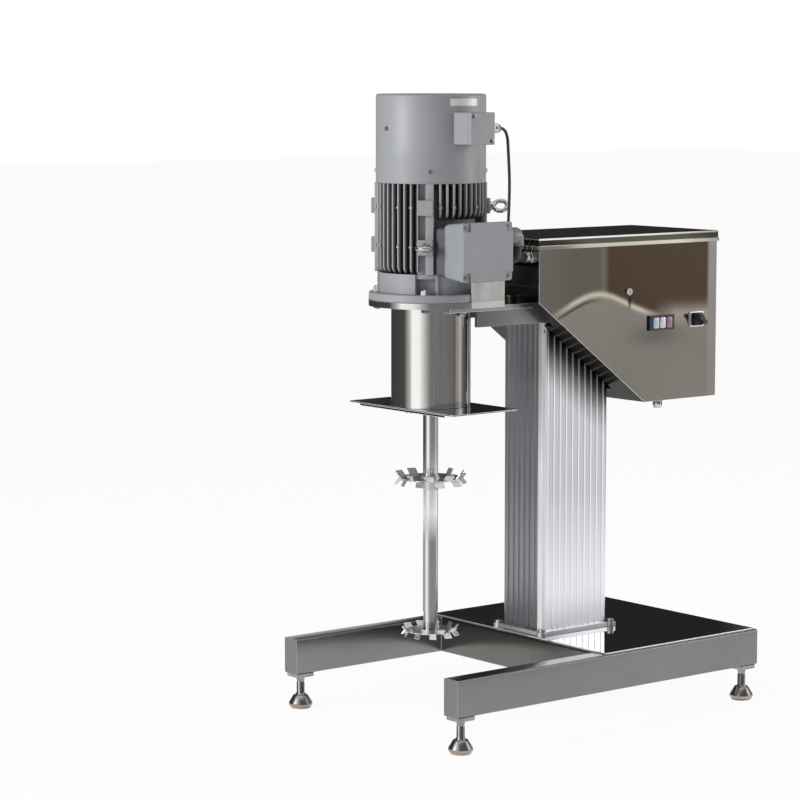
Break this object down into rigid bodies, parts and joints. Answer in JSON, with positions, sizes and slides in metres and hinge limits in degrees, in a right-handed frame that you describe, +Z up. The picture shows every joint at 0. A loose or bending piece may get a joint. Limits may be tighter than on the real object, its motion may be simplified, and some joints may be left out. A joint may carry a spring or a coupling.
{
  "type": "laboratory disperser",
  "caption": "Floor-standing high shear disperser: motor-driven toothed discs on a lifting column over an open-legged base, with a sheet steel control box.",
  "frame": {"origin": "centre of the footprint, on the floor", "axes": "+X to the side with the control buttons, -Y to the open end of the base, +Z up"},
  "size_m": [0.57, 0.844, 1.276],
  "materials": {
    "polished_steel": "polished stainless sheet",
    "satin_steel": "satin stainless tube",
    "steel": "machined steel",
    "chrome": "bright plated",
    "aluminium": "silver anodised",
    "grey_paint": "semi-gloss grey",
    "black_plastic": "satin black",
    "grey_plastic": "satin grey",
    "white_plastic": "gloss",
    "blue_plastic": "gloss",
    "mauve_plastic": "gloss",
    "black_rubber": "satin black",
    "pad_plastic": "matte",
    "cast_iron": "machined"
  },
  "bodies": {
    "base": {"side_rails": "satin_steel", "cross_rails": "satin_steel", "deck_plate": "polished_steel", "foot_mount_plates": "satin_steel", "column_base_plate": "steel", "column_base_screws": "steel", "column_outer_profile": "aluminium", "upper_guide_pads": "pad_plastic", "lift_gearmotor": "grey_paint"},
    "foot_front_left": {"foot_front_left": "satin_steel"},
    "foot_front_right": {"foot_front_right": "satin_steel"},
    "foot_rear_left": {"foot_rear_left": "satin_steel"},
    "foot_rear_right": {"foot_rear_right": "satin_steel"},
    "lead_screw": {"lead_screw": "steel"},
    "head": {"column_inner_profile": "aluminium", "lower_guide_pads": "pad_plastic", "lift_nut": "cast_iron", "column_head_plate": "steel", "arm_plate": "polished_steel", "arm_side_bars": "polished_steel", "spindle_housing": "polished_steel", "seat_flange": "polished_steel", "seat_cheeks": "polished_steel", "shaft_bearings": "steel", "cover_plate": "polished_steel", "machine_bolts": "chrome", "motor_end_shield": "grey_paint", "motor_frame": "grey_paint", "motor_stator": "cast_iron", "fan_cowl": "grey_paint", "fan_motor": "grey_paint", "terminal_box": "grey_paint", "terminal_cover": "grey_paint", "fan_terminal_box": "grey_paint", "lifting_eyes": "chrome", "cable_glands": "chrome", "conduit": "black_rubber", "fan_lead": "black_rubber", "box_side_panels": "polished_steel", "box_front_panel": "polished_steel", "box_rear_panel": "polished_steel", "box_floor_panel": "polished_steel", "power_gland": "grey_plastic", "lid_hinges": "satin_steel", "switch_bezels": "black_plastic", "speed_inverter": "grey_plastic", "terminal_rail": "grey_plastic"},
    "spindle": {"motor_rotor": "steel", "shaft_coupling": "steel", "spindle_shaft": "satin_steel", "upper_disc": "satin_steel", "lower_disc": "satin_steel", "disc_hubs": "satin_steel"},
    "fan": {"cooling_fan": "black_plastic"},
    "lid": {"box_lid": "polished_steel"},
    "lock": {"lid_lock": "chrome"},
    "knob": {"selector_knob": "black_plastic"},
    "run_button": {"run_button": "blue_plastic"},
    "set_button": {"set_button": "white_plastic"},
    "stop_button": {"stop_button": "mauve_plastic"}
  },
  "joints": [
    {"name": "column_lift", "type": "slide", "parent": "base", "child": "head", "axis": [0, 0, 1], "range_m": [0, 0.45]},
    {"name": "lead_screw_spin", "type": "hinge", "parent": "base", "child": "lead_screw", "pos_m": [0, 0.08, 0], "axis": [0, 0, 1], "continuous": true},
    {"name": "spindle_spin", "type": "hinge", "parent": "head", "child": "spindle", "pos_m": [0, -0.26, 0], "axis": [0, 0, 1], "continuous": true},
    {"name": "fan_spin", "type": "hinge", "parent": "head", "child": "fan", "pos_m": [0, -0.26, 0], "axis": [0, 0, 1], "continuous": true},
    {"name": "lid_hinge", "type": "hinge", "parent": "head", "child": "lid", "pos_m": [-0.138, 0, 0.959], "axis": [0, -1, 0], "range_deg": [0, 100]},
    {"name": "lock_turn", "type": "hinge", "parent": "head", "child": "lock", "pos_m": [0.131, 0.163, 0.867], "axis": [1, 0, 0], "range_deg": [0, 90]},
    {"name": "knob_turn", "type": "hinge", "parent": "head", "child": "knob", "pos_m": [0.131, 0.358, 0.8], "axis": [1, 0, 0], "range_deg": [-90, 90]},
    {"name": "run_button_press", "type": "slide", "parent": "head", "child": "run_button", "axis": [-1, 0, 0], "range_m": [0, 0.003], "stiffness_N_per_m": 800},
    {"name": "set_button_press", "type": "slide", "parent": "head", "child": "set_button", "axis": [-1, 0, 0], "range_m": [0, 0.003], "stiffness_N_per_m": 800},
    {"name": "stop_button_press", "type": "slide", "parent": "head", "child": "stop_button", "axis": [-1, 0, 0], "range_m": [0, 0.003], "stiffness_N_per_m": 800},
    {"name": "foot_front_left_level", "type": "slide", "parent": "base", "child": "foot_front_left", "axis": [0, 0, 1], "range_m": [-0.025, 0.035]},
    {"name": "foot_front_right_level", "type": "slide", "parent": "base", "child": "foot_front_right", "axis": [0, 0, 1], "range_m": [-0.025, 0.035]},
    {"name": "foot_rear_left_level", "type": "slide", "parent": "base", "child": "foot_rear_left", "axis": [0, 0, 1], "range_m": [-0.025, 0.035]},
    {"name": "foot_rear_right_level", "type": "slide", "parent": "base", "child": "foot_rear_right", "axis": [0, 0, 1], "range_m": [-0.025, 0.035]}
  ],
  "couplings": [
    {"joint": "lead_screw_spin", "follows": "column_lift", "rad_per_m": -628.32}
  ]
}
